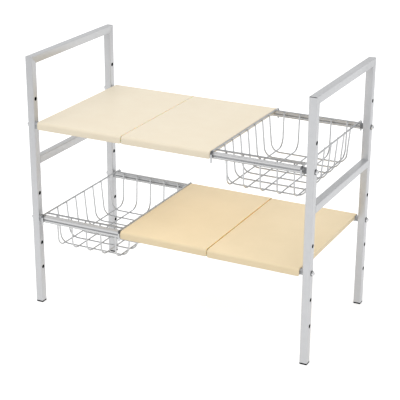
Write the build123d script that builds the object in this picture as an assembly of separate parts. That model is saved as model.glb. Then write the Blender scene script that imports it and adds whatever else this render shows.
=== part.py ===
from build123d import *
import os
from math import cos, radians, sin, tan, atan2

# Two-tier rack for the cupboard under a sink. Two welded side frames of square tube stand
# on plugs. Four telescoping rails join them, front and rear, on two tiers. Each tier carries
# two moulded panels and one hanging wire basket, mirrored from tier to tier.
# X runs to the right, Y to the back and Z up. The origin is on the floor under the middle.
# All lengths are in millimetres.

# Side frames
frame_depth = 285.5
frame_height = 484.0
post_side = 14.0
post_wall = 1.0
tube_chamfer = 1.0
crossbar_level = 286.0

# Rows of holes in the posts, where the rails can be bolted on
hole_radius = 3.0
hole_pitch = 50.0
lower_first_hole = 73.0
lower_hole_count = 4
upper_first_hole = 355.0
upper_hole_count = 2
lower_rail_hole_index = 2
upper_rail_hole_index = 0

# Foot plugs
foot_rim = 3.0
foot_plug_length = 14.0
plug_fit = 0.1

# Telescoping rails: a rounded box section with a pressed groove along both sides
rail_height = 13.0
rail_depth = 12.0
rail_corner = 3.5
rail_wall = 0.8
rail_slip = 0.3
groove_radius = 1.6
groove_depth = 0.8
rail_end_gap = 6.0
rail_end_back = 1.5
slide_travel = 90.0
least_overlap = 76.0
guide_length = 6.0
guide_plug_length = 12.0
guide_slip = 0.15

# Rail ends, bolts and washers
collar_step = 0.5
end_plug_length = 22.0
bolt_radius = 2.5
bolt_fit = 0.05
bolt_grip = 12.0
head_radius = 4.2
head_height = 3.6
head_bevel = 2.0
washer_radius = 4.9
washer_bore_radius = 2.7
washer_thickness = 1.0

# Moulded panels
panel_width = 174.5
panel_skin = 1.6
panel_roll = 5.2
panel_lip_gap = 0.4
panel_lip_drop = 12.5
panel_lip_corner = 3.0
panel_edge_round = 0.7
panel_gap = 1.0
seat_gap = 0.2
rib_drop = 6.0
rib_thickness = 1.4
rib_rail_gap = 1.0
rib_count = 4

# Wire baskets
basket_width = 168.0
basket_drop = 67.0
basket_gap = 1.0
rim_radius = 1.5
wire_radius = 1.2
weld_gap = 0.05
wire_seat_gap = 0.3
hook_gap = 0.5
hook_bend = 4.0
hook_drop = 19.0
end_rim_gap = 1.25
wire_bend = 18.0
end_taper = 3.0
side_taper = 6.5
long_wire_count = 5
cross_wire_count = 7
cross_wire_margin = 8.5

overrun = 5.0

# Flats that stand for a round section, and straight steps in a wire's bend
round_sides = 10
groove_sides = 8
rim_sides = 8
wire_sides = 6
bend_steps = 4

# Places that follow from the sizes above
shelf_span = 2 * panel_width + panel_gap
rail_span = shelf_span + basket_gap + basket_width + basket_gap
frame_width = rail_span + 2 * (rail_end_gap + post_side)
rail_end_x = rail_span / 2
post_x = (frame_width - post_side) / 2
post_y = (frame_depth - post_side) / 2
lower_levels = [lower_first_hole + hole_pitch * i for i in range(lower_hole_count)]
upper_levels = [upper_first_hole + hole_pitch * i for i in range(upper_hole_count)]
lower_tier = lower_levels[lower_rail_hole_index]
upper_tier = upper_levels[upper_rail_hole_index]
inner_inset = rail_wall + rail_slip
outer_rail_length = rail_span - panel_width - panel_gap - rail_end_back
inner_rail_length = rail_span - outer_rail_length + slide_travel + least_overlap
rail_inner_face = post_y - rail_depth / 2
rail_outer_face = post_y + rail_depth / 2


def along_x(x, y, z):
    """Sketch plane whose normal runs along +X, with local x along Y and local y along Z."""
    return Plane(origin=(x, y, z), x_dir=(0, 1, 0), z_dir=(1, 0, 0))


def rod_along_x(radius, start, end, y, z):
    section = along_x(start, y, z) * RegularPolygon(radius, round_sides)
    return extrude(section, amount=end - start)


def save(name, shapes):
    """Write one node, which may hold several separate solids."""
    solids = [solid for shape in shapes for solid in shape.solids()]
    node = solids[0] if len(solids) == 1 else Compound(children=solids)
    node.label = name
    export_step(node, f"parts/{name}.step")


# Side frames

def tube_section():
    """Square tube with eased outer corners."""
    outer = Rectangle(post_side, post_side)
    outer = chamfer(outer.vertices(), tube_chamfer)
    inner_side = post_side - 2 * post_wall
    return outer - Rectangle(inner_side, inner_side)


def mitre(row):
    """Plane of the welded top corner of one row, -1 front and 1 rear. The bar is above it."""
    return Plane(origin=(0, row * frame_depth / 2, frame_height), z_dir=(0, -row, 1))


def post(side, row):
    """Upright tube with a mitred top and its two rows of holes."""
    base = Plane(origin=(side * post_x, row * post_y, foot_rim))
    tube = extrude(base * tube_section(), amount=frame_height - foot_rim)
    tube = split(tube, bisect_by=mitre(row), keep=Keep.BOTTOM)
    reach = post_side / 2 + overrun
    for level in lower_levels + upper_levels:
        start = side * post_x - reach
        tube -= rod_along_x(hole_radius, start, start + 2 * reach, row * post_y, level)
    return tube


def top_bar(side):
    """Tube along the top of one side frame, mitred to both posts."""
    start = Plane(
        origin=(side * post_x, -frame_depth / 2, frame_height - post_side / 2),
        x_dir=(1, 0, 0),
        z_dir=(0, 1, 0),
    )
    tube = extrude(start * tube_section(), amount=frame_depth)
    for row in (-1, 1):
        tube = split(tube, bisect_by=mitre(row), keep=Keep.TOP)
    return tube


def crossbar(side):
    """Tube welded between the two posts of one side frame."""
    length = frame_depth - 2 * post_side
    start = Plane(origin=(side * post_x, -length / 2, crossbar_level), x_dir=(1, 0, 0), z_dir=(0, 1, 0))
    return extrude(start * tube_section(), amount=length)


def foot(side, row):
    """Plastic plug with a rim under the tube and a stem pushed up inside it."""
    place = Pos(side * post_x, row * post_y, 0)
    rim_section = Rectangle(post_side, post_side)
    rim_section = chamfer(rim_section.vertices(), tube_chamfer)
    stem_side = post_side - 2 * (post_wall + plug_fit)
    rim = extrude(place * rim_section, amount=foot_rim)
    stem = extrude(place * Rectangle(stem_side, stem_side), amount=foot_rim + foot_plug_length)
    return rim + stem


# Telescoping rails

def rail_outline(inset):
    """Filled rail section, moved inwards by inset all round."""
    body = RectangleRounded(rail_depth - 2 * inset, rail_height - 2 * inset, rail_corner - inset)
    centre = rail_depth / 2 + groove_radius - groove_depth
    turned = Rot(0, 0, 180 / groove_sides)
    groove = turned * RegularPolygon(groove_radius + inset, groove_sides, major_radius=False)
    for row in (-1, 1):
        body -= Pos(row * centre, 0) * groove
    return body


def rail_tube(start, length, row, level, inset):
    section = rail_outline(inset) - rail_outline(inset + rail_wall)
    return extrude(along_x(start, row * post_y, level) * section, amount=length)


def plug(start, end, row, level, inset):
    """Block that fits a rail section moved inwards by inset, between its grooves."""
    width = 2 * (rail_depth / 2 - groove_depth - inset)
    low, high = min(start, end), max(start, end)
    section = Rectangle(width, rail_height - 2 * inset)
    section = chamfer(section.vertices(), rail_corner - inset)
    return extrude(along_x(low, row * post_y, level) * section, amount=high - low)


def outer_rail(row, level):
    return rail_tube(-rail_end_x, outer_rail_length, row, level, 0)


def inner_rail(row, level):
    return rail_tube(rail_end_x - inner_rail_length, inner_rail_length, row, level, inner_inset)


def rail_end(side, row, level):
    """Block between post and rail: a visible collar, and a plug inside the rail for the bolt."""
    inset = 0 if side < 0 else inner_inset
    collar_end = side * rail_end_x
    post_face = side * (rail_end_x + rail_end_gap)
    plug_end = side * (rail_end_x - end_plug_length)
    block = plug(post_face, collar_end, row, level, inset + collar_step)
    block += plug(collar_end, plug_end, row, level, inset + rail_wall + plug_fit)
    bore_from = min(post_face, plug_end) - overrun
    bore_to = max(post_face, plug_end) + overrun
    return block - rod_along_x(bolt_radius + bolt_fit, bore_from, bore_to, row * post_y, level)


def slide_guide(row, level):
    """Plug in the hidden end of an inner rail, with a collar that runs inside the outer rail."""
    end = rail_end_x - inner_rail_length
    collar = plug(end - guide_length, end, row, level, rail_wall + guide_slip)
    stem = plug(end, end + guide_plug_length, row, level, inner_inset + rail_wall + plug_fit)
    return collar + stem


def bolt(side, row, level):
    """Dome-headed bolt through the post into the rail end."""
    face = side * (frame_width / 2 + washer_thickness)
    tip = side * (rail_end_x - bolt_grip)
    top = face + side * head_height
    head = rod_along_x(head_radius, min(face, top), max(face, top), row * post_y, level)
    outer_face = head.faces().sort_by(Axis.X)[-1 if side > 0 else 0]
    head = chamfer(outer_face.edges(), head_bevel)
    return head + rod_along_x(bolt_radius, min(face, tip), max(face, tip), row * post_y, level)


def washer(side, row, level):
    inner = side * frame_width / 2
    outer = inner + side * washer_thickness
    ring = RegularPolygon(washer_radius, round_sides)
    ring -= RegularPolygon(washer_bore_radius, round_sides)
    return extrude(along_x(min(inner, outer), row * post_y, level) * ring, amount=washer_thickness)


# Panels

def panel(left, rest_level):
    """Moulded tray panel. Its front and rear edges roll over the rails, with ribs below."""
    under = rest_level + seat_gap
    top = under + panel_skin
    bottom = top - panel_lip_drop - panel_skin
    half = rail_outer_face + panel_lip_gap + panel_skin
    mid = (top + bottom) / 2

    outer = Pos(0, mid) * Rectangle(2 * half, top - bottom)
    outer = fillet(outer.vertices().group_by(Axis.Y)[-1], panel_roll)
    hollow_height = under - bottom + overrun
    hollow = Pos(0, under - hollow_height / 2) * Rectangle(2 * (half - panel_skin), hollow_height)
    hollow = fillet(hollow.vertices().group_by(Axis.Y)[-1], panel_roll - panel_skin)
    skin = extrude(along_x(left, 0, 0) * (outer - hollow), amount=panel_width)

    front = Plane(origin=(left + panel_width / 2, half, mid), x_dir=(1, 0, 0), z_dir=(0, -1, 0))
    face = Rectangle(panel_width, top - bottom)
    face = fillet(face.vertices().group_by(Axis.Y)[0], panel_lip_corner)
    face = fillet(face.vertices().group_by(Axis.Y)[-1], panel_edge_round)
    skin &= extrude(front * face, amount=2 * half)

    rib_half = rail_inner_face - rib_rail_gap
    for i in range(rib_count):
        step = (panel_width - rib_thickness) / (rib_count - 1)
        x = left + i * step
        skin += slab(x, x + rib_thickness, -rib_half, rib_half, under - rib_drop, under)
    for row in (-1, 1):
        edges = (row * rib_half, row * (rib_half - rib_thickness))
        skin += slab(left, left + panel_width, min(edges), max(edges), under - rib_drop, under)
    return skin


def slab(x0, x1, y0, y1, z0, z1):
    """Box between two corners."""
    box = Box(x1 - x0, y1 - y0, z1 - z0)
    return Pos((x0 + x1) / 2, (y0 + y1) / 2, (z0 + z1) / 2) * box


# Baskets

def bent_line(points, bend):
    """Points of a line whose corners are bent round in short straight steps."""
    line = [points[0]]
    for before, corner, after in zip(points, points[1:], points[2:]):
        back = (before - corner).normalized()
        ahead = (after - corner).normalized()
        half_angle = radians(back.get_angle(ahead)) / 2
        centre = corner + (back + ahead).normalized() * (bend / sin(half_angle))
        first_arm = corner + back * (bend / tan(half_angle)) - centre
        last_arm = corner + ahead * (bend / tan(half_angle)) - centre
        turn = radians(180) - 2 * half_angle
        for i in range(bend_steps + 1):
            share = i / bend_steps
            first_share = sin((1 - share) * turn) / sin(turn)
            last_share = sin(share * turn) / sin(turn)
            line.append(centre + first_arm * first_share + last_arm * last_share)
    line.append(points[-1])
    return line


def wire(points, radius, sides, bend):
    """Wire along a line with bent corners."""
    path = Polyline(*bent_line([Vector(*point) for point in points], bend))
    start = Plane(origin=path @ 0, z_dir=path % 0)
    return sweep(start * RegularPolygon(radius, sides), path=path, transition=Transition.RIGHT)


def bend_turn(taper, drop):
    """Turn of the bends of a U wire whose sides lean outwards by taper."""
    return radians(90) - atan2(taper, drop)


def bend_reach(taper, drop):
    """Length that such a bend takes from the wire's flat bottom."""
    return wire_bend * tan(bend_turn(taper, drop) / 2)


side_rim_x = basket_width / 2 - rim_radius
end_rim_y = rail_inner_face - end_rim_gap - rim_radius
side_step = rim_radius + wire_radius + weld_gap
wire_step = 2 * wire_radius + weld_gap
long_top_y = end_rim_y - side_step
long_bottom_y = long_top_y - end_taper
cross_top_x = side_rim_x - side_step
cross_bottom_x = cross_top_x - side_taper
cross_drop = basket_drop + wire_step
cross_flat_x = cross_bottom_x - bend_reach(side_taper, cross_drop)
long_flat_y = long_bottom_y - bend_reach(end_taper, basket_drop)
nest_radius = wire_bend - wire_step
nest_angle = bend_turn(side_taper, cross_drop) / bend_steps
outer_long_x = cross_flat_x + nest_radius * sin(nest_angle)
outer_long_lift = nest_radius * (1 - cos(nest_angle))
outer_cross_y = long_flat_y - cross_wire_margin


def side_rims(centre, level):
    """The two heavy wires along the basket's sides, hooked over both rails."""
    hook_y = rail_outer_face + hook_gap + rim_radius
    rims = []
    for side in (-1, 1):
        x = centre + side * side_rim_x
        points = [
            (x, -hook_y, level - hook_drop),
            (x, -hook_y, level),
            (x, hook_y, level),
            (x, hook_y, level - hook_drop),
        ]
        rims.append(wire(points, rim_radius, rim_sides, hook_bend))
    return rims


def end_rims(centre, level):
    """The two straight wires between the side wires, just inside the rails."""
    reach = side_rim_x - rim_radius - weld_gap
    return [
        rod_along_x(rim_radius, centre - reach, centre + reach, row * end_rim_y, level)
        for row in (-1, 1)
    ]


def long_wires(centre, level):
    """U wires from front to rear. The outermost two nest in the bends of the cross wires."""
    wires = []
    half = (long_wire_count - 1) / 2
    for i in range(long_wire_count):
        share = i / half - 1
        x = centre + share * outer_long_x
        bottom = level - basket_drop + (outer_long_lift if abs(share) == 1 else 0)
        points = [
            (x, -long_top_y, level),
            (x, -long_bottom_y, bottom),
            (x, long_bottom_y, bottom),
            (x, long_top_y, level),
        ]
        wires.append(wire(points, wire_radius, wire_sides, wire_bend))
    return wires


def cross_wires(centre, level):
    """U wires from side to side, welded under the long ones."""
    wires = []
    half = (cross_wire_count - 1) / 2
    for i in range(cross_wire_count):
        share = i / half - 1
        y = share * outer_cross_y
        points = [
            (centre - cross_top_x, y, level),
            (centre - cross_bottom_x, y, level - cross_drop),
            (centre + cross_bottom_x, y, level - cross_drop),
            (centre + cross_top_x, y, level),
        ]
        wires.append(wire(points, wire_radius, wire_sides, wire_bend))
    return wires


# Build every node

def build():
    os.makedirs("parts", exist_ok=True)
    places = [(row, level) for row in (-1, 1) for level in (lower_tier, upper_tier)]
    row_names = {-1: "front", 1: "rear"}
    tier_names = {lower_tier: "lower", upper_tier: "upper"}

    for side, side_name in ((-1, "left"), (1, "right")):
        for row, row_name in row_names.items():
            save(f"{side_name}_{row_name}_post", [post(side, row)])
            save(f"{side_name}_{row_name}_foot", [foot(side, row)])
        save(f"{side_name}_top_bar", [top_bar(side)])
        save(f"{side_name}_crossbar", [crossbar(side)])
        save(f"{side_name}_rail_ends", [rail_end(side, row, level) for row, level in places])
        save(f"{side_name}_bolts", [bolt(side, row, level) for row, level in places])
        save(f"{side_name}_washers", [washer(side, row, level) for row, level in places])

    for row, level in places:
        place = f"{tier_names[level]}_{row_names[row]}"
        save(f"{place}_outer_rail", [outer_rail(row, level)])
        save(f"{place}_inner_rail", [inner_rail(row, level)])
    save("slide_guides", [slide_guide(row, level) for row, level in places])

    outer_top = rail_height / 2
    inner_top = outer_top - inner_inset
    step = panel_width + panel_gap
    save("upper_left_panel", [panel(-rail_end_x, upper_tier + outer_top)])
    save("upper_right_panel", [panel(-rail_end_x + step, upper_tier + outer_top)])
    save("lower_left_panel", [panel(rail_end_x - step - panel_width, lower_tier + outer_top)])
    save("lower_right_panel", [panel(rail_end_x - panel_width, lower_tier + inner_top)])

    basket_x = rail_end_x - basket_gap - basket_width / 2
    rise = wire_seat_gap + rim_radius
    baskets = (
        ("lower", -basket_x, lower_tier + outer_top + rise),
        ("upper", basket_x, upper_tier + inner_top + rise),
    )
    for name, centre, level in baskets:
        save(f"{name}_basket_side_rims", side_rims(centre, level))
        save(f"{name}_basket_end_rims", end_rims(centre, level))
        save(f"{name}_basket_long_wires", long_wires(centre, level))
        wires = cross_wires(centre, level)
        front_count = cross_wire_count // 2
        save(f"{name}_basket_front_cross_wires", wires[:front_count])
        save(f"{name}_basket_rear_cross_wires", wires[front_count:])


build()
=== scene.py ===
from math import cos, pi, radians, sqrt, tan

import bmesh
import bpy
from mathutils import Matrix, Vector


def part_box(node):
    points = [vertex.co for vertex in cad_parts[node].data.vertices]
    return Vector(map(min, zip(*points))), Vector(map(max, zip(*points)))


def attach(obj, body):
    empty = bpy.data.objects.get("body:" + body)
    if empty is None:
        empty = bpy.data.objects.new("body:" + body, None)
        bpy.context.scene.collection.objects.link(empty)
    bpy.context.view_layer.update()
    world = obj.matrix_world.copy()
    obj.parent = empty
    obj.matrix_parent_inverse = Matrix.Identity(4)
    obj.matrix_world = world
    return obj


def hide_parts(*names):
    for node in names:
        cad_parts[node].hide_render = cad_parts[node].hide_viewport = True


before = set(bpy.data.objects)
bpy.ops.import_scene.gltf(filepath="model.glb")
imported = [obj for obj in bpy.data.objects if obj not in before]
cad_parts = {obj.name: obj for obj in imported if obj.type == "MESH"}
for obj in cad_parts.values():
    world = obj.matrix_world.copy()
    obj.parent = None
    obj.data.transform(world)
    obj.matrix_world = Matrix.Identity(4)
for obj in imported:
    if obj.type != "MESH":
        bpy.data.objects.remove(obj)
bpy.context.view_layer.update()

# Two-tier rack for the cupboard under a sink: side frames of square tube, telescoping rails,
# moulded panels and hanging wire baskets. The CAD frame gives where each piece sits.
# Blender's own lengths are metres. Sizes in millimetres are multiplied by MM.

MM = 0.001

# Sizes that the CAD boxes don't give, in millimetres. STEPS are the flats of a rounded edge
# or a bend, and SIDES the flats round a bar.

# Side frames. The levels of the holes are heights over the floor.
POST_SIDE = 14.0
POST_WALL = 1.0
POST_CORNER = 1.1
POST_CORNER_STEPS = 4
INSIDE_SLACK = 0.1
MITRE_EASE = 0.2
MITRE_EASE_STEPS = 2
OPEN_MITRE_DEPTH = 0.6
OPEN_MITRE_WIDTH = 1.3
HOLE_RADIUS = 3.0
HOLE_SIDES = 32
HOLE_RIM = 0.7
HOLE_RIM_DEPTH = 0.3
HOLE_LEVELS = (73, 123, 173, 223, 355, 405)
FOOT_RIM = 3.0
FOOT_EDGE = 0.7
FOOT_EDGE_STEPS = 3
STEM_PLAY = 0.1
STEM_CHAMFER = 1.0

# Rails and the blocks at their ends
RAIL_DEPTH = 12.0
RAIL_HEIGHT = 13.0
RAIL_CORNER = 3.5
RAIL_CORNER_STEPS = 6
RAIL_WALL = 0.8
GROOVE_RADIUS = 1.6
GROOVE_SIDES = 24
GROOVE_DEPTH = 0.8
GROOVE_EDGE = 0.05
INNER_INSET = 1.1
COLLAR_STEP = 0.5
COLLAR_PLUG_PLAY = 0.9
PLUG_INTO_COLLAR = 1.0

# Bolts and washers
HEAD_RADIUS = 4.2
HEAD_SIDES = 40
HEAD_HEIGHT = 3.6
HEAD_DOME = 1.8
HEAD_DOME_STEPS = 6
SOCKET_RADIUS = 1.7
SOCKET_SIDES = 6
SOCKET_DEPTH = 1.6
SOCKET_CLEAR = 1.0
SHANK_RADIUS = 2.5
SHANK_SIDES = 24
SHANK_INTO_HEAD = 0.5
WASHER_RADIUS = 4.9
WASHER_SIDES = 40
WASHER_BORE = 2.7
WASHER_THICKNESS = 1.0
WASHER_EDGE = 0.25
WASHER_EDGE_STEPS = 2

# Panels
PANEL_SKIN = 1.6
PANEL_ROLL = 5.2
PANEL_ROLL_STEPS = 10
PANEL_LIP_CORNER = 3.0
PANEL_LIP_STEPS = 5
PANEL_EDGE = 0.45
PANEL_EDGE_STEPS = 3
PANEL_EDGE_ANGLE = radians(60)
RIB_DROP = 6.0
RIB_THICKNESS = 1.4
RIB_HALF = 128.75
RIB_COUNT = 4
RIB_END_GAP = 0.05
RIB_INTO_SKIN = 0.3

# Baskets
RIM_RADIUS = 1.5
RIM_SIDES = 14
WIRE_RADIUS = 1.2
WIRE_SIDES = 12
CAD_WIRE_SIDES = 6
PLATING = 0.2
WIRE_BEND = 18.0
WIRE_BEND_STEPS = 10
HOOK_BEND = 4.0
HOOK_BEND_STEPS = 8
DARK_HOOK_REACH = 8.0
WELD_GAP = 0.05
BASKET_DROP = 67.0
LONG_TAPER = 3.0
CROSS_TAPER = 6.5
OUTER_LONG_LIFT = 1.05
LONG_COUNT = 5
CROSS_COUNT = 7

# How far a cutter runs past what it cuts, and the distances within which edges count as near
# a level, edges as on a mitre, and points as one
OVERRUN = 5.0
NEAR = 0.1
MITRE_NEAR = 0.05
SAME = 0.01

# Limits for one part of a direction of length 1: an edge that runs along an axis, and a face
# that looks along it, looks more sideways than not, or is tilted towards it
ALONG = 0.999
FACING = 0.9
SIDEWAYS = 0.5
TILTED = 0.2

SMOOTH_ANGLE = radians(35)


# Materials

GRAIN_DETAIL = 2.0
MOTTLE_DETAIL = 3.0
MOTTLE_RAMP = (0.3, 0.7)

# Bumps that more than one material has: width in millimetres, strength and height in
# millimetres. A rail's are drawn out along X.
FINE_GRAIN = (0.8, 0.15, 0.02)
GLOSSY_GRAIN = (0.7, 0.08, 0.02)
ROLLED_GRAIN = (0.9, 0.2, 0.03, (0.04, 1, 1))

# How deep light goes into a panel's edge, in millimetres, and the shares of that depth that
# red, green and blue light reach
SEAM_LIGHT_DEPTH = 3.0
SEAM_LIGHT_SHARES = (1.0, 0.6, 0.3)

POLYPROPYLENE_IOR = 1.49
POLYETHYLENE_IOR = 1.51
NYLON_IOR = 1.53


def linear(hex_colour):
    """A colour written as sRGB hex, as linear values."""
    channels = [int(hex_colour[i : i + 2], 16) / 255 for i in (0, 2, 4)]
    return [c / 12.92 if c <= 0.04045 else ((c + 0.055) / 1.055) ** 2.4 for c in channels] + [1]


def add_node(tree, kind, links=(), **settings):
    """Adds a node, sets its sockets and settings by name, and links sockets into it."""
    made = tree.nodes.new(kind)
    for name, value in settings.items():
        socket = name.replace("_", " ")
        if socket in made.inputs:
            made.inputs[socket].default_value = value
        else:
            setattr(made, name, value)
    for source, target in links:
        tree.links.new(source, made.inputs[target])
    return made


def surface(name, hex_colour, metallic, roughness):
    """A plain material, with its tree and its shader."""
    material = bpy.data.materials.new(name)
    material.use_nodes = True
    tree = material.node_tree
    shader = tree.nodes["Principled BSDF"]
    shader.inputs["Base Color"].default_value = linear(hex_colour)
    shader.inputs["Metallic"].default_value = metallic
    shader.inputs["Roughness"].default_value = roughness
    return material, tree, shader


def add_grain(tree, shader, size, strength, depth, stretch=(1, 1, 1)):
    """Fine bumps. Size is the width of one in millimetres, depth their height in millimetres."""
    place = add_node(tree, "ShaderNodeTexCoord")
    lay = add_node(tree, "ShaderNodeMapping", [(place.outputs["Object"], "Vector")], Scale=stretch)
    noise = add_node(
        tree, "ShaderNodeTexNoise", [(lay.outputs["Vector"], "Vector")],
        Scale=1 / (size * MM), Detail=GRAIN_DETAIL,
    )
    bump = add_node(
        tree, "ShaderNodeBump", [(noise.outputs["Fac"], "Height")],
        Strength=strength, Distance=depth * MM,
    )
    tree.links.new(bump.outputs["Normal"], shader.inputs["Normal"])
    return lay


def add_mottle(tree, shader, lay, size, dark_hex, light_hex):
    """A soft drift between two close colours, over patches of that many millimetres."""
    noise = add_node(
        tree, "ShaderNodeTexNoise", [(lay.outputs["Vector"], "Vector")],
        Scale=1 / (size * MM), Detail=MOTTLE_DETAIL,
    )
    ramp = add_node(tree, "ShaderNodeValToRGB", [(noise.outputs["Fac"], "Fac")])
    for i, hex_colour in enumerate((dark_hex, light_hex)):
        ramp.color_ramp.elements[i].position = MOTTLE_RAMP[i]
        ramp.color_ramp.elements[i].color = linear(hex_colour)
    tree.links.new(ramp.outputs["Color"], shader.inputs["Base Color"])


def finished_surface(name, hex_colour, metallic, roughness, grain, mottle, **values):
    """A material with bumps and a drift of colour, which are as add_grain and add_mottle take
    them. More values of the shader are given by name."""
    material, tree, shader = surface(name, hex_colour, metallic, roughness)
    for value_name, value in values.items():
        shader.inputs[value_name.replace("_", " ")].default_value = value
    lay = add_grain(tree, shader, *grain)
    add_mottle(tree, shader, lay, *mottle)
    return material


def make_materials():
    made = {}

    # Silver powder coat with aluminium flakes, on steel tube: satin, with an orange-peel grain
    made["frame_paint"] = finished_surface(
        "silver_powder_coat", "C7C8CA", metallic=0.6, roughness=0.38,
        grain=(1.2, 0.2, 0.04), mottle=(14, "C5C6C8", "C9CACC"),
    )

    # Silver powder coat on the rolled steel of the rails: thinner and brighter than on the
    # frame, with faint lines along the rolling direction
    made["rail_steel"] = finished_surface(
        "silver_coated_rolled_steel", "D2D3D4", metallic=0.5, roughness=0.34,
        grain=ROLLED_GRAIN, mottle=(6, "CDCECF", "D8D8D9"),
    )

    # The rails' coat painted darker in the groove and along the lower corners: painted shade
    made["rail_painted_shade"] = finished_surface(
        "rail_coat_painted_shade", "9A9B9D", metallic=1.0, roughness=0.4,
        grain=ROLLED_GRAIN, mottle=(6, "949597", "A0A1A3"),
    )

    # Plated steel wire: smooth drawn wire, a little darker than the rails
    made["wire_chrome"] = finished_surface(
        "plated_wire", "BEBFC1", metallic=1.0, roughness=0.3,
        grain=FINE_GRAIN, mottle=(10, "BABBBD", "C2C3C4"),
    )

    # Cream polypropylene moulding: satin skin with a fine spark-eroded texture. The lower tier's
    # copy is painted a little yellower, as painted shade and warm bounced light under the upper
    # tier.
    for look, name, pale, light in (
        ("cream_plastic", "cream_polypropylene", "F0E3CA", "F2E6CE"),
        ("shaded_cream_plastic", "shaded_cream_polypropylene", "F0DCB5", "F3DFB9"),
    ):
        made[look] = finished_surface(
            name, light, metallic=0.0, roughness=0.46,
            grain=FINE_GRAIN, mottle=(40, pale, light), IOR=POLYPROPYLENE_IOR,
        )

    # The panels' edges at the seam: polypropylene that lets the light that falls on the skin
    # through, painted a deeper orange than the skin as a painted glow of light in the gap
    for look, name, deep, bright in (
        ("cream_seam", "seam_glow_polypropylene", "F8DEB8", "FCE4C0"),
        ("shaded_cream_seam", "shaded_seam_glow_polypropylene", "FBD298", "FFDAA0"),
    ):
        made[look] = finished_surface(
            name, bright, metallic=0.0, roughness=0.5,
            grain=FINE_GRAIN, mottle=(10, deep, bright), IOR=POLYPROPYLENE_IOR,
            Subsurface_Weight=1.0, Subsurface_Scale=SEAM_LIGHT_DEPTH * MM,
            Subsurface_Radius=SEAM_LIGHT_SHARES,
        )

    # Black polyethylene plug: matt, with a moulded grain
    made["black_plastic"] = finished_surface(
        "black_polyethylene", "060606", metallic=0.0, roughness=0.8,
        grain=(0.8, 0.2, 0.04), mottle=(5, "050505", "080808"),
        IOR=POLYETHYLENE_IOR, Specular_IOR_Level=0.12,
    )

    # Moulded nylon of the end blocks, glossy, in a lit and a shaded copy: light grey on the left
    # and low down, and grey with painted shade on the upper right
    made["grey_plastic"] = finished_surface(
        "grey_nylon", "77797C", metallic=0.0, roughness=0.16,
        grain=GLOSSY_GRAIN, mottle=(6, "727477", "7C7E81"), IOR=NYLON_IOR,
    )
    made["light_grey_plastic"] = finished_surface(
        "light_grey_nylon", "B2B4B7", metallic=0.0, roughness=0.25,
        grain=GLOSSY_GRAIN, mottle=(6, "AEB0B3", "B6B8BB"), IOR=NYLON_IOR,
    )

    # Plated wire painted darker at the corners of a basket's rim and down its hooks
    made["darkened_hook"] = finished_surface(
        "darkened_hook_wire", "77787B", metallic=1.0, roughness=0.4,
        grain=FINE_GRAIN, mottle=(5, "6B6C6F", "838487"),
    )

    # Zinc-plated bolt steel: bright and smooth
    made["bolt_steel"] = finished_surface(
        "zinc_plated_bolt", "D2D3D4", metallic=1.0, roughness=0.24,
        grain=(0.6, 0.12, 0.02), mottle=(4, "CACBCD", "D8D8D9"),
    )

    # Dark nylon washer, moulded and matt
    made["dark_nylon"] = finished_surface(
        "dark_nylon", "3A3A3C", metallic=0.0, roughness=0.45,
        grain=(0.6, 0.2, 0.03), mottle=(4, "363638", "404042"), IOR=NYLON_IOR,
    )

    # Bare steel inside a tube and at the holes' edges, near black: partly dark mill scale with a
    # thin film of oil, partly painted shade deep in the tube and around the holes
    made["bare_steel_and_shade"] = finished_surface(
        "mill_scale_and_painted_shade", "0C0C0D", metallic=0.0, roughness=0.8,
        grain=(1.0, 0.3, 0.05), mottle=(8, "0A0A0A", "0F0F10"), Specular_IOR_Level=0.1,
    )
    return made


materials = make_materials()


# Tools for shaping pieces

def deselect():
    bpy.ops.object.select_all(action="DESELECT")


def work_on(piece):
    """Makes the piece the only one that is selected."""
    deselect()
    piece.select_set(True)
    bpy.context.view_layer.objects.active = piece


def settle(piece):
    """Moves the piece's place into its mesh, so that its object sits at the origin."""
    work_on(piece)
    bpy.ops.object.transform_apply(location=True, rotation=True, scale=True)


def block(name, low, high):
    """A box between two corners."""
    low, high = Vector(low) * MM, Vector(high) * MM
    deselect()
    bpy.ops.mesh.primitive_cube_add(size=1, location=(low + high) / 2, scale=high - low)
    piece = bpy.context.object
    piece.name = name
    settle(piece)
    return piece


def rod(name, radius, start, end, sides):
    """A round bar between two points."""
    start, end = Vector(start) * MM, Vector(end) * MM
    span = end - start
    deselect()
    bpy.ops.mesh.primitive_cylinder_add(
        vertices=sides,
        radius=radius * MM,
        depth=span.length,
        location=(start + end) / 2,
        rotation=span.to_track_quat("Z", "Y").to_euler(),
    )
    piece = bpy.context.object
    piece.name = name
    settle(piece)
    return piece


def pick(piece, kind, test):
    """Opens the piece in edit mode with the faces, edges or verts that pass the test selected."""
    work_on(piece)
    bpy.ops.object.mode_set(mode="EDIT")
    bpy.ops.mesh.select_mode(type={"faces": "FACE", "edges": "EDGE", "verts": "VERT"}[kind])
    bpy.ops.mesh.select_all(action="DESELECT")
    mesh = bmesh.from_edit_mesh(piece.data)
    for part in getattr(mesh, kind):
        if test(part):
            part.select_set(True)
    mesh.select_flush_mode()
    bmesh.update_edit_mesh(piece.data)


def pick_all(piece):
    pick(piece, "faces", lambda face: True)


def close():
    """Leaves edit mode."""
    bpy.ops.object.mode_set(mode="OBJECT")


def middle(edge):
    return (edge.verts[0].co + edge.verts[1].co) / 2 / MM


def centre(face):
    return face.calc_center_median() / MM


def runs_along(edge, axis):
    """True for an edge that runs along that axis, 0 for X, 1 for Y and 2 for Z."""
    direction = (edge.verts[1].co - edge.verts[0].co).normalized()
    return abs(direction[axis]) > ALONG


def bevel(piece, test, width, steps, kind="edges"):
    """Rounds the edges or verts that pass the test."""
    pick(piece, kind, test)
    affect = "VERTICES" if kind == "verts" else "EDGES"
    bpy.ops.mesh.bevel(offset=width * MM, segments=steps, affect=affect, clamp_overlap=True)
    close()


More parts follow.
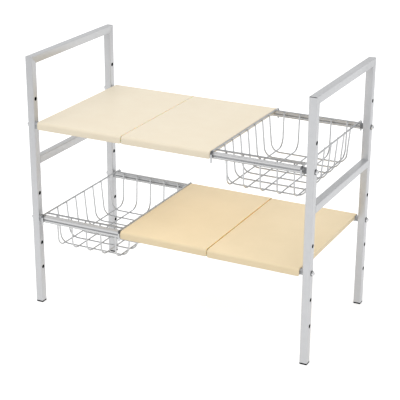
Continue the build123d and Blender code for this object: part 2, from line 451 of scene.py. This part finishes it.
def combine(piece, other, operation):
    """Cuts the other piece out of this one, or unites the two, and deletes the other."""
    work_on(piece)
    change = piece.modifiers.new(operation.lower(), "BOOLEAN")
    change.object = other
    change.operation = operation
    change.solver = "EXACT"
    bpy.ops.object.modifier_apply(modifier=change.name)
    bpy.data.objects.remove(other)
    return piece


def clean(piece):
    """Merges verts that cuts left almost in one place, and removes faces without area."""
    pick_all(piece)
    bpy.ops.mesh.remove_doubles(threshold=SAME * MM)
    bpy.ops.mesh.dissolve_degenerate(threshold=SAME * MM)
    close()


def repeat(piece, places):
    """The piece and its copies, each with its own mesh. Their places, in millimetres, count
    from any one point, and the piece is at the first of them."""
    pieces = [piece]
    for place in places[1:]:
        twin = piece.copy()
        twin.data = piece.data.copy()
        bpy.context.scene.collection.objects.link(twin)
        twin.location = (Vector(place) - Vector(places[0])) * MM
        settle(twin)
        pieces.append(twin)
    return pieces


def evenly(count, start, end):
    """Evenly spaced values from start to end."""
    return [start + (end - start) * i / (count - 1) for i in range(count)]


def join(name, pieces):
    """Puts several pieces into one object."""
    deselect()
    for piece in pieces:
        piece.select_set(True)
    bpy.context.view_layer.objects.active = pieces[0]
    bpy.ops.object.join()
    pieces[0].name = name
    return pieces[0]


def finish(piece, slot, body, node, look=None):
    """Shades the piece, gives it its material, hides the CAD node that it stands for and hangs it
    on the body that it rides on. The material is the slot's own, unless a look of another name is
    given."""
    work_on(piece)
    bpy.ops.object.shade_smooth_by_angle(angle=SMOOTH_ANGLE)
    piece.data.materials.clear()
    piece.data.materials.append(materials[look or slot])
    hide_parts(node)
    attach(piece, body)


def paint_faces(piece, look, test):
    """Gives the faces that pass the test a material of their own."""
    piece.data.materials.append(materials[look])
    pick(piece, "faces", test)
    piece.active_material_index = len(piece.data.materials) - 1
    bpy.ops.object.material_slot_assign()
    close()


# Places that come from the CAD frame, in millimetres

def span_of(node):
    """The low and the high corner of a CAD node."""
    low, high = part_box(node)
    return Vector(low) / MM, Vector(high) / MM


def centre_of(node):
    low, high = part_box(node)
    return (low + high) / 2 / MM


POST_Y = centre_of("left_rear_post").y
LOWER_TIER = centre_of("lower_front_outer_rail").z
UPPER_TIER = centre_of("upper_front_outer_rail").z
RAIL_END_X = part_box("upper_front_inner_rail")[1].x / MM
RAIL_PLACES = [Vector((0, y, z)) for y in (-POST_Y, POST_Y) for z in (LOWER_TIER, UPPER_TIER)]

# The outermost wires of a basket. A CAD wire's box is measured over its flats.
long_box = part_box("upper_basket_long_wires")
rear_cross_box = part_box("upper_basket_rear_cross_wires")
over_flats = WIRE_RADIUS * cos(pi / CAD_WIRE_SIDES)
OUTER_LONG_X = (long_box[1].x - long_box[0].x) / 2 / MM - over_flats
OUTER_CROSS_Y = rear_cross_box[1].y / MM - over_flats


# Side frames

def mitre_cut(piece, outer_y, top, row, keep_below):
    """Cuts the piece along the 45 degree plane of a welded corner."""
    pick_all(piece)
    bpy.ops.mesh.bisect(
        plane_co=(0, outer_y * MM, top * MM),
        plane_no=(0, -row / sqrt(2), 1 / sqrt(2)),
        clear_outer=keep_below,
        clear_inner=not keep_below,
        use_fill=True,
    )
    close()


def ease_mitre(piece, outer_y, top, row):
    """Rounds the edges that lie in a corner's 45 degree plane."""

    def on_mitre(edge):
        return all(
            abs((v.co.z / MM - top) - row * (v.co.y / MM - outer_y)) < MITRE_NEAR
            for v in edge.verts
        )

    bevel(piece, on_mitre, MITRE_EASE, MITRE_EASE_STEPS)


def drill(tube, low, high):
    """Cuts the holes through an upright, each with a shallow rim on both faces."""
    y = (low.y + high.y) / 2
    holes = [
        rod("hole", HOLE_RADIUS, (low.x - OVERRUN, y, z), (high.x + OVERRUN, y, z), HOLE_SIDES)
        for z in HOLE_LEVELS
    ]
    combine(tube, join("holes", holes), "DIFFERENCE")
    rims = []
    for face_x, inwards in ((low.x, 1), (high.x, -1)):
        for z in HOLE_LEVELS:
            outer = (face_x - inwards * OVERRUN, y, z)
            inner = (face_x + inwards * HOLE_RIM_DEPTH, y, z)
            rims.append(rod("rim", HOLE_RADIUS + HOLE_RIM, outer, inner, HOLE_SIDES))
    combine(tube, join("rims", rims), "DIFFERENCE")


def upright(side_name, row_name, row):
    """Square tube on end, mitred at its top, with its holes and a hollow inside."""
    node = f"{side_name}_{row_name}_post"
    low, high = span_of(node)
    top = high.z
    outer_y = low.y if row < 0 else high.y
    tube = block(f"{side_name}_{row_name}_upright", low, high)
    mitre_cut(tube, outer_y, top, row, keep_below=True)
    bevel(tube, lambda e: runs_along(e, 2), POST_CORNER, POST_CORNER_STEPS)
    ease_mitre(tube, outer_y, top, row)

    wall = Vector((POST_WALL, POST_WALL, 0))
    hollow_top = Vector((high.x, high.y, top - POST_SIDE))
    hollow = block("hollow", low + wall - Vector((0, 0, OVERRUN)), hollow_top - wall)
    combine(tube, hollow, "DIFFERENCE")
    drill(tube, low, high)

    # At one corner the joint stands open above the weld, as a dark line
    has_open_mitre = side_name == "right" and row < 0
    line_bottom = top - OPEN_MITRE_WIDTH
    line_y = outer_y + OPEN_MITRE_DEPTH
    if has_open_mitre:
        line = block(
            "line", (low.x - OVERRUN, outer_y - OVERRUN, line_bottom),
            (high.x + OVERRUN, line_y, top + OVERRUN),
        )
        combine(tube, line, "DIFFERENCE")
    clean(tube)
    finish(tube, "frame_paint", f"{side_name}_frame", node)

    middle_x = (low.x + high.x) / 2
    middle_y = (low.y + high.y) / 2
    reach = POST_SIDE / 2 - POST_WALL + INSIDE_SLACK

    def is_bare_or_shaded(face):
        at = centre(face)
        in_hollow = abs(at.x - middle_x) < reach and abs(at.y - middle_y) < reach
        in_hole = abs(at.x - middle_x) < POST_SIDE / 2 - INSIDE_SLACK and any(
            sqrt((at.y - middle_y) ** 2 + (at.z - z) ** 2) < HOLE_RADIUS + HOLE_RIM
            for z in HOLE_LEVELS
        )
        in_mitre = (
            has_open_mitre
            and at.z > line_bottom - SAME
            and outer_y + SAME < at.y < line_y + SAME
            and abs(face.normal.x) < SIDEWAYS
        )
        return in_mitre or (at.z < hollow_top.z and (in_hollow or in_hole))

    # The hollow, the hole walls and rims and the open mitre line are painted near black: bare
    # steel, and painted shade inside the tube and around the holes
    paint_faces(tube, "bare_steel_and_shade", is_bare_or_shaded)


def top_tube(side_name):
    """Tube along the top of a side frame, mitred to both uprights."""
    node = f"{side_name}_top_bar"
    low, high = span_of(node)
    tube = block(f"{side_name}_top_tube", low, high)
    corners = ((-1, low.y), (1, high.y))
    for row, outer_y in corners:
        mitre_cut(tube, outer_y, high.z, row, keep_below=False)
    bevel(tube, lambda e: runs_along(e, 1), POST_CORNER, POST_CORNER_STEPS)
    for row, outer_y in corners:
        ease_mitre(tube, outer_y, high.z, row)
    finish(tube, "frame_paint", f"{side_name}_frame", node)


def cross_tube(side_name):
    """Tube across a side frame at mid height."""
    node = f"{side_name}_crossbar"
    tube = block(f"{side_name}_cross_tube", *span_of(node))
    bevel(tube, lambda e: runs_along(e, 1), POST_CORNER, POST_CORNER_STEPS)
    finish(tube, "frame_paint", f"{side_name}_frame", node)


def foot_plug(side_name, row_name):
    """Plug with a rim below the tube and a stem inside it."""
    node = f"{side_name}_{row_name}_foot"
    low, high = span_of(node)
    rim = block(f"{side_name}_{row_name}_foot_plug", low, (high.x, high.y, FOOT_RIM))
    bevel(rim, lambda e: runs_along(e, 2), POST_CORNER, POST_CORNER_STEPS)
    bevel(
        rim,
        lambda e: not runs_along(e, 2) and middle(e).z < FOOT_RIM / 2,
        FOOT_EDGE, FOOT_EDGE_STEPS,
    )
    inset = Vector((POST_WALL + STEM_PLAY, POST_WALL + STEM_PLAY, 0))
    stem = block("stem", low + inset + Vector((0, 0, FOOT_RIM / 2)), high - inset)
    bevel(stem, lambda e: middle(e).z > high.z - NEAR, STEM_CHAMFER, 1)
    combine(rim, stem, "UNION")
    finish(rim, "black_plastic", f"{side_name}_frame", node)


# Telescoping rails

def rail_core(name, start, end, y, z, inset):
    """Solid length of the rail's section, moved inwards by inset all round."""
    half_depth = RAIL_DEPTH / 2 - inset
    half_height = RAIL_HEIGHT / 2 - inset
    core = block(
        name, (start, y - half_depth, z - half_height), (end, y + half_depth, z + half_height)
    )
    bevel(core, lambda e: runs_along(e, 0), RAIL_CORNER - inset, RAIL_CORNER_STEPS)
    aside = RAIL_DEPTH / 2 + GROOVE_RADIUS - GROOVE_DEPTH
    grooves = [
        rod(
            "groove", GROOVE_RADIUS + inset,
            (start - OVERRUN, groove_y, z), (end + OVERRUN, groove_y, z), GROOVE_SIDES,
        )
        for groove_y in (y - aside, y + aside)
    ]
    return combine(core, join("grooves", grooves), "DIFFERENCE")


def rail(node, name, inset, body):
    """Tube of one rail, with painted shade in its grooves and along its lower corners."""
    low, high = span_of(node)
    y, z = (low.y + high.y) / 2, (low.z + high.z) / 2
    tube = rail_core(name, low.x, high.x, y, z, inset)
    inside = rail_core("inside", low.x - OVERRUN, high.x + OVERRUN, y, z, inset + RAIL_WALL)
    combine(tube, inside, "DIFFERENCE")
    finish(tube, "rail_steel", body, node)

    groove_reach = RAIL_DEPTH / 2 - inset - GROOVE_EDGE
    corner_drop = RAIL_HEIGHT / 2 - inset - RAIL_CORNER / 2

    def is_rail_shade(face):
        at = centre(face)
        in_groove = abs(at.z - z) < GROOVE_RADIUS and abs(at.y - y) < groove_reach
        return in_groove or at.z - z < -corner_drop

    # The groove and the lower corners take a darker copy of the coat as painted shade
    paint_faces(tube, "rail_painted_shade", is_rail_shade)


def rail_collars(side_name, side):
    """The blocks between rails and uprights, with the plugs that go into the rails."""
    node = f"{side_name}_rail_ends"
    low, high = span_of(node)
    outer, inner = (low.x, high.x) if side < 0 else (high.x, low.x)
    inset = COLLAR_STEP + (INNER_INSET if side > 0 else 0)
    plug_inset = inset - COLLAR_STEP + COLLAR_PLUG_PLAY
    rail_face = RAIL_END_X * side
    plug_start = rail_face + side * PLUG_INTO_COLLAR
    at = RAIL_PLACES[0]
    collar = rail_core("collar", *sorted((outer, rail_face)), at.y, at.z, inset)
    plug = rail_core("plug", *sorted((plug_start, inner)), at.y, at.z, plug_inset)
    combine(collar, plug, "UNION")
    collars = join(f"{side_name}_rail_collars", repeat(collar, RAIL_PLACES))
    look = "light_grey_plastic" if side < 0 else "grey_plastic"
    finish(collars, "grey_plastic", f"{side_name}_frame", node, look)
    if side > 0:
        # On the right only the lower blocks take the light grey, so the upper ones stay darker as
        # painted shade
        halfway = (LOWER_TIER + UPPER_TIER) / 2
        paint_faces(collars, "light_grey_plastic", lambda f: centre(f).z < halfway)


def bolts_and_washers(side_name, side):
    """Domed socket heads with their shanks, each on its washer."""
    low, high = span_of(f"{side_name}_bolts")
    tip, crown = (high.x, low.x) if side < 0 else (low.x, high.x)
    seat = crown - side * HEAD_HEIGHT
    post_face = seat - side * WASHER_THICKNESS
    at = RAIL_PLACES[0]

    def bar(name, radius, start, end, sides):
        return rod(name, radius, (start, at.y, at.z), (end, at.y, at.z), sides)

    def round_face(piece, face_x, width, steps):
        bevel(
            piece,
            lambda e: abs(middle(e).x - face_x) < SAME and not runs_along(e, 0),
            width, steps,
        )

    bolt = bar("head", HEAD_RADIUS, seat, crown, HEAD_SIDES)
    round_face(bolt, crown, HEAD_DOME, HEAD_DOME_STEPS)
    socket_start = crown + side * SOCKET_CLEAR
    socket_end = crown - side * SOCKET_DEPTH
    socket = bar("socket", SOCKET_RADIUS, socket_start, socket_end, SOCKET_SIDES)
    combine(bolt, socket, "DIFFERENCE")
    shank = bar("shank", SHANK_RADIUS, seat + side * SHANK_INTO_HEAD, tip, SHANK_SIDES)
    combine(bolt, shank, "UNION")

    washer = bar("ring", WASHER_RADIUS, post_face, seat, WASHER_SIDES)
    round_face(washer, seat, WASHER_EDGE, WASHER_EDGE_STEPS)
    bore = bar("bore", WASHER_BORE, post_face - OVERRUN, seat + OVERRUN, WASHER_SIDES)
    combine(washer, bore, "DIFFERENCE")

    body = f"{side_name}_frame"
    bolts = join(f"{side_name}_bolt_heads", repeat(bolt, RAIL_PLACES))
    finish(bolts, "bolt_steel", body, f"{side_name}_bolts")
    washers = join(f"{side_name}_washer_rings", repeat(washer, RAIL_PLACES))
    finish(washers, "dark_nylon", body, f"{side_name}_washers")


# Panels

def panel_skin(name, low, high):
    """Thin skin that is flat on top and rolls down at the front and the rear."""
    skin = block(name, low, high)
    pick(skin, "faces", lambda f: abs(f.normal.x) > FACING or f.normal.z < -FACING)
    bpy.ops.mesh.delete(type="FACE")
    close()
    bevel(
        skin,
        lambda e: runs_along(e, 0) and middle(e).z > high.z - NEAR,
        PANEL_ROLL, PANEL_ROLL_STEPS,
    )
    bevel(
        skin, lambda v: v.co.z / MM < low.z + NEAR, PANEL_LIP_CORNER, PANEL_LIP_STEPS,
        kind="verts",
    )
    work_on(skin)
    wall = skin.modifiers.new("wall", "SOLIDIFY")
    wall.thickness = PANEL_SKIN * MM
    wall.offset = -1
    wall.use_even_offset = True
    bpy.ops.object.modifier_apply(modifier=wall.name)
    ease = skin.modifiers.new("ease", "BEVEL")
    ease.width = PANEL_EDGE * MM
    ease.segments = PANEL_EDGE_STEPS
    ease.limit_method = "ANGLE"
    ease.angle_limit = PANEL_EDGE_ANGLE
    bpy.ops.object.modifier_apply(modifier=ease.name)
    return skin


def moulded_panel(node):
    """Skin that rolls down over both rails, with ribs under it."""
    low, high = span_of(node)
    skin = panel_skin(f"{node}_moulding", low, high)

    rib_bottom = high.z - PANEL_SKIN - RIB_DROP
    rib_top = high.z - PANEL_SKIN + RIB_INTO_SKIN
    pitch_span = high.x - low.x - RIB_THICKNESS - 2 * RIB_END_GAP
    ribs = []
    for i in range(RIB_COUNT):
        x = low.x + RIB_END_GAP + i * pitch_span / (RIB_COUNT - 1)
        ribs.append(
            block("rib", (x, -RIB_HALF, rib_bottom), (x + RIB_THICKNESS, RIB_HALF, rib_top))
        )
    for row in (-1, 1):
        front, back = sorted((row * RIB_HALF, row * (RIB_HALF - RIB_THICKNESS)))
        low_corner = (low.x + RIB_END_GAP, front, rib_bottom)
        high_corner = (high.x - RIB_END_GAP, back, rib_top)
        ribs.append(block("rib", low_corner, high_corner))
    for rib in ribs:
        combine(skin, rib, "UNION")
    clean(skin)

    # The lower panels take the yellower copy: painted shade under the upper tier
    batch = "cream" if node.startswith("upper") else "shaded_cream"
    finish(skin, "cream_plastic", f"{node}_body", node, f"{batch}_plastic")
    seam_x = high.x if "left" in node else low.x

    def is_at_seam(face):
        return abs(face.normal.x) > TILTED and abs(centre(face).x - seam_x) < PANEL_EDGE

    # The seam's walls and bevels take the deeper orange: a painted glow of light in the gap
    paint_faces(skin, f"{batch}_seam", is_at_seam)


# Baskets

def bent_wire(name, radius, points, bend, sides, steps):
    """Round wire drawn along straight runs, with a round bend at each corner."""
    points = [Vector(point) * MM for point in points]
    bend = bend * MM
    heading = (points[1] - points[0]).normalized()
    deselect()
    bpy.ops.mesh.primitive_circle_add(
        vertices=sides,
        radius=radius * MM,
        fill_type="NGON",
        location=points[0],
        rotation=heading.to_track_quat("Z", "Y").to_euler(),
    )
    piece = bpy.context.object
    piece.name = name
    settle(piece)
    bpy.ops.object.mode_set(mode="EDIT")
    bpy.ops.mesh.select_all(action="SELECT")
    here = points[0]
    for i in range(1, len(points)):
        heading = (points[i] - points[i - 1]).normalized()
        if i == len(points) - 1:
            bpy.ops.mesh.extrude_region_move(TRANSFORM_OT_translate={"value": points[i] - here})
            break
        onward = (points[i + 1] - points[i]).normalized()
        turn = heading.angle(onward)
        arm = bend * tan(turn / 2)
        bend_start = points[i] - heading * arm
        bpy.ops.mesh.extrude_region_move(TRANSFORM_OT_translate={"value": bend_start - here})
        axis = heading.cross(onward).normalized()
        pivot = bend_start + axis.cross(heading) * bend
        # Without a window, spin turns the other way
        bpy.ops.mesh.spin(steps=steps, angle=-turn, center=pivot, axis=axis)
        here = points[i] + onward * arm
    close()
    return piece


def u_wire(points):
    """One of the thin wires that hang below a basket's rim."""
    radius = WIRE_RADIUS + PLATING
    return bent_wire("wire", radius, points, WIRE_BEND, WIRE_SIDES, WIRE_BEND_STEPS)


def finish_wires(name, wires, body, node):
    """Joins drawn wires into one piece, closes the seams of their bends and finishes it."""
    piece = join(name, wires)
    pick_all(piece)
    bpy.ops.mesh.remove_doubles(threshold=SAME * MM)
    bpy.ops.mesh.normals_make_consistent(inside=False)
    close()
    finish(piece, "wire_chrome", body, node)
    return piece


def basket(tier):
    """Two heavy side wires hooked over the rails, two end wires, and the U wires below them."""
    body = f"{tier}_basket"
    low, high = span_of(f"{body}_side_rims")
    middle_x = (low.x + high.x) / 2
    level = high.z - RIM_RADIUS
    hook_y = high.y - RIM_RADIUS
    side_x = (high.x - low.x) / 2 - RIM_RADIUS
    rim_radius = RIM_RADIUS + PLATING

    # Side wires, bent down at both ends as hooks over the rails
    x = middle_x - side_x
    points = ((x, -hook_y, low.z), (x, -hook_y, level), (x, hook_y, level), (x, hook_y, low.z))
    rim = bent_wire("rim", rim_radius, points, HOOK_BEND, RIM_SIDES, HOOK_BEND_STEPS)
    rims = repeat(rim, [(-side_x, 0, 0), (side_x, 0, 0)])
    rims = finish_wires(f"{body}_side_wires", rims, body, f"{body}_side_rims")

    def is_darkened_hook(face):
        at = centre(face)
        return abs(at.y) > hook_y - HOOK_BEND and at.z > level - DARK_HOOK_REACH

    # The rim's corners and hooks are painted darker
    paint_faces(rims, "darkened_hook", is_darkened_hook)

    # Straight end wires
    low, high = span_of(f"{body}_end_rims")
    end_y = high.y - RIM_RADIUS
    end = rod("end", rim_radius, (low.x, -end_y, level), (high.x, -end_y, level), RIM_SIDES)
    ends = join(f"{body}_end_wires", repeat(end, [(0, -end_y, 0), (0, end_y, 0)]))
    finish(ends, "wire_chrome", body, f"{body}_end_rims")

    # U wires from front to back. The outermost two lie higher, in the bends of the other ones.
    to_weld = RIM_RADIUS + WIRE_RADIUS + WELD_GAP
    top_y = end_y - to_weld
    bottom_y = top_y - LONG_TAPER
    places = [(x, 0, 0) for x in evenly(LONG_COUNT, -OUTER_LONG_X, OUTER_LONG_X)]
    outermost, others = (places[0], places[-1]), places[1:-1]
    wires = []
    for places_alike, lift in ((outermost, OUTER_LONG_LIFT), (others, 0)):
        x = middle_x + places_alike[0][0]
        bottom = level - BASKET_DROP + lift
        points = (
            (x, -top_y, level), (x, -bottom_y, bottom), (x, bottom_y, bottom), (x, top_y, level)
        )
        wires += repeat(u_wire(points), places_alike)
    finish_wires(f"{body}_front_to_back_wires", wires, body, f"{body}_long_wires")

    # U wires from side to side, just below the others
    top_x = side_x - to_weld
    bottom_x = top_x - CROSS_TAPER
    bottom = level - (BASKET_DROP + 2 * WIRE_RADIUS + WELD_GAP)
    places = [(0, y, 0) for y in evenly(CROSS_COUNT, -OUTER_CROSS_Y, OUTER_CROSS_Y)]
    points = (
        (middle_x - top_x, -OUTER_CROSS_Y, level), (middle_x - bottom_x, -OUTER_CROSS_Y, bottom),
        (middle_x + bottom_x, -OUTER_CROSS_Y, bottom), (middle_x + top_x, -OUTER_CROSS_Y, level),
    )
    wires = repeat(u_wire(points), places)
    front_count = CROSS_COUNT // 2
    for row_name, group in (("front", wires[:front_count]), ("rear", wires[front_count:])):
        name = f"{body}_{row_name}_side_to_side_wires"
        finish_wires(name, group, body, f"{body}_{row_name}_cross_wires")


# The rack

for side_name, side in (("left", -1), ("right", 1)):
    for row_name, row in (("front", -1), ("rear", 1)):
        upright(side_name, row_name, row)
        foot_plug(side_name, row_name)
    top_tube(side_name)
    cross_tube(side_name)
    rail_collars(side_name, side)
    bolts_and_washers(side_name, side)

for tier in ("lower", "upper"):
    for row_name in ("front", "rear"):
        place = f"{tier}_{row_name}"
        rail(f"{place}_outer_rail", f"{place}_outer_tube", 0, "left_frame")
        rail(f"{place}_inner_rail", f"{place}_inner_tube", INNER_INSET, "right_frame")
    basket(tier)

for node in ("upper_left_panel", "upper_right_panel", "lower_left_panel", "lower_right_panel"):
    moulded_panel(node)

# The plugs inside the rails stay as the CAD has them
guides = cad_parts["slide_guides"]
guides.data.materials.clear()
guides.data.materials.append(materials["grey_plastic"])


# Floor, lights and camera, in metres and watts

FLOOR_SIZE = 12
FLOOR_BELOW_FEET = 0.0005
FLOOR_GLOW = 0.62
WORLD_LIGHT = 0.85
CARD_SIZE = 2
CARD_PLACE = (-0.9, -0.8, 2.3)
RACK_MIDDLE = (0, 0, 0.24)
WHITE = (1, 1, 1, 1)


def white_to_the_camera(name, hex_colour, glow):
    """Floor finish: a pale matt surface that the camera and mirrors see as white."""
    material, tree, shader = surface(name, hex_colour, metallic=0.0, roughness=0.9)
    path = add_node(tree, "ShaderNodeLightPath").outputs
    seen = path["Is Camera Ray"]
    for ray in ("Is Glossy Ray", "Is Transmission Ray"):
        links = [(seen, 0), (path[ray], 1)]
        seen = add_node(tree, "ShaderNodeMath", links, operation="MAXIMUM").outputs["Value"]
    strength = add_node(tree, "ShaderNodeMath", [(seen, 0)], operation="MULTIPLY")
    strength.inputs[1].default_value = glow
    shader.inputs["Emission Color"].default_value = WHITE
    tree.links.new(strength.outputs["Value"], shader.inputs["Emission Strength"])
    return material


def plane(name, size, place, material):
    """A flat square."""
    deselect()
    bpy.ops.mesh.primitive_plane_add(size=size, location=place)
    piece = bpy.context.object
    piece.name = name
    piece.data.materials.append(material)
    return piece


def lamp(name, place, size, power, target=RACK_MIDDLE):
    """Soft light aimed at the middle of the rack, or at another target."""
    light = bpy.data.lights.new(name, "AREA")
    light.size = size
    light.energy = power
    holder = bpy.data.objects.new(name, light)
    bpy.context.scene.collection.objects.link(holder)
    holder.location = place
    aim = Vector(target) - Vector(place)
    holder.rotation_euler = aim.to_track_quat("-Z", "Y").to_euler()
    return holder


floor_finish = white_to_the_camera("pale_matt_floor", "DADADA", FLOOR_GLOW)
floor = plane("floor", FLOOR_SIZE, (0, 0, -FLOOR_BELOW_FEET), floor_finish)

# A studio that lights everything evenly and that the camera sees as white
world = bpy.data.worlds.new("studio")
bpy.context.scene.world = world
world.use_nodes = True
tree = world.node_tree
tree.nodes.clear()
path = add_node(tree, "ShaderNodeLightPath").outputs
links = [(path["Is Camera Ray"], 0), (path["Is Transmission Ray"], 1)]
seen = add_node(tree, "ShaderNodeMath", links, operation="MAXIMUM").outputs["Value"]
ambient = add_node(tree, "ShaderNodeBackground", Color=WHITE, Strength=WORLD_LIGHT)
backdrop = add_node(tree, "ShaderNodeBackground", Color=WHITE, Strength=1.0)
mix = add_node(
    tree, "ShaderNodeMixShader", [(seen, 0), (ambient.outputs[0], 1), (backdrop.outputs[0], 2)]
)
add_node(tree, "ShaderNodeOutputWorld", [(mix.outputs[0], "Surface")])

lamp("key", place=(-0.5, -0.9, 2.6), size=1.6, power=14)
lamp("fill", place=(1.9, -0.9, 1.2), size=1.6, power=2)

# Light for the shelf below the upper panels, which only lights surfaces and isn't itself seen
between_tiers = lamp(
    "between_tiers", place=(0.03, 0, 0.345), size=0.26, power=0.16, target=(0.03, 0, 0.18)
)
between_tiers.visible_camera = False
between_tiers.visible_glossy = False

# Dark card overhead, which only mirrors see: it draws the dark lines along rails and wires
card_finish = surface("dark_card", "0A0A0A", metallic=0.0, roughness=1.0)[0]
card = plane("dark_card", CARD_SIZE, CARD_PLACE, card_finish)
card.visible_camera = False
card.visible_diffuse = False
card.visible_shadow = False

# The camera that fits the photograph, with its place in millimetres and its angles in radians
CAMERA_PLACE = (961.5, -1911.5, 1039.1)
CAMERA_YAW = 0.4662
CAMERA_PITCH = 0.3699
CAMERA_ROLL = -0.0045
FOCAL_PIXELS = 1228.4
IMAGE_PIXELS = 400
SENSOR_WIDTH = 36

camera_data = bpy.data.cameras.new("camera")
camera = bpy.data.objects.new("camera", camera_data)
bpy.context.scene.collection.objects.link(camera)
bpy.context.scene.camera = camera
camera_data.sensor_width = SENSOR_WIDTH
camera_data.lens = FOCAL_PIXELS / IMAGE_PIXELS * SENSOR_WIDTH
camera.location = Vector(CAMERA_PLACE) * MM
turn = Matrix.Rotation(CAMERA_YAW, 4, "Z") @ Matrix.Rotation(pi / 2 - CAMERA_PITCH, 4, "X")
camera.rotation_euler = (turn @ Matrix.Rotation(-CAMERA_ROLL, 4, "Z")).to_euler()

bpy.context.scene.view_settings.view_transform = "Standard"
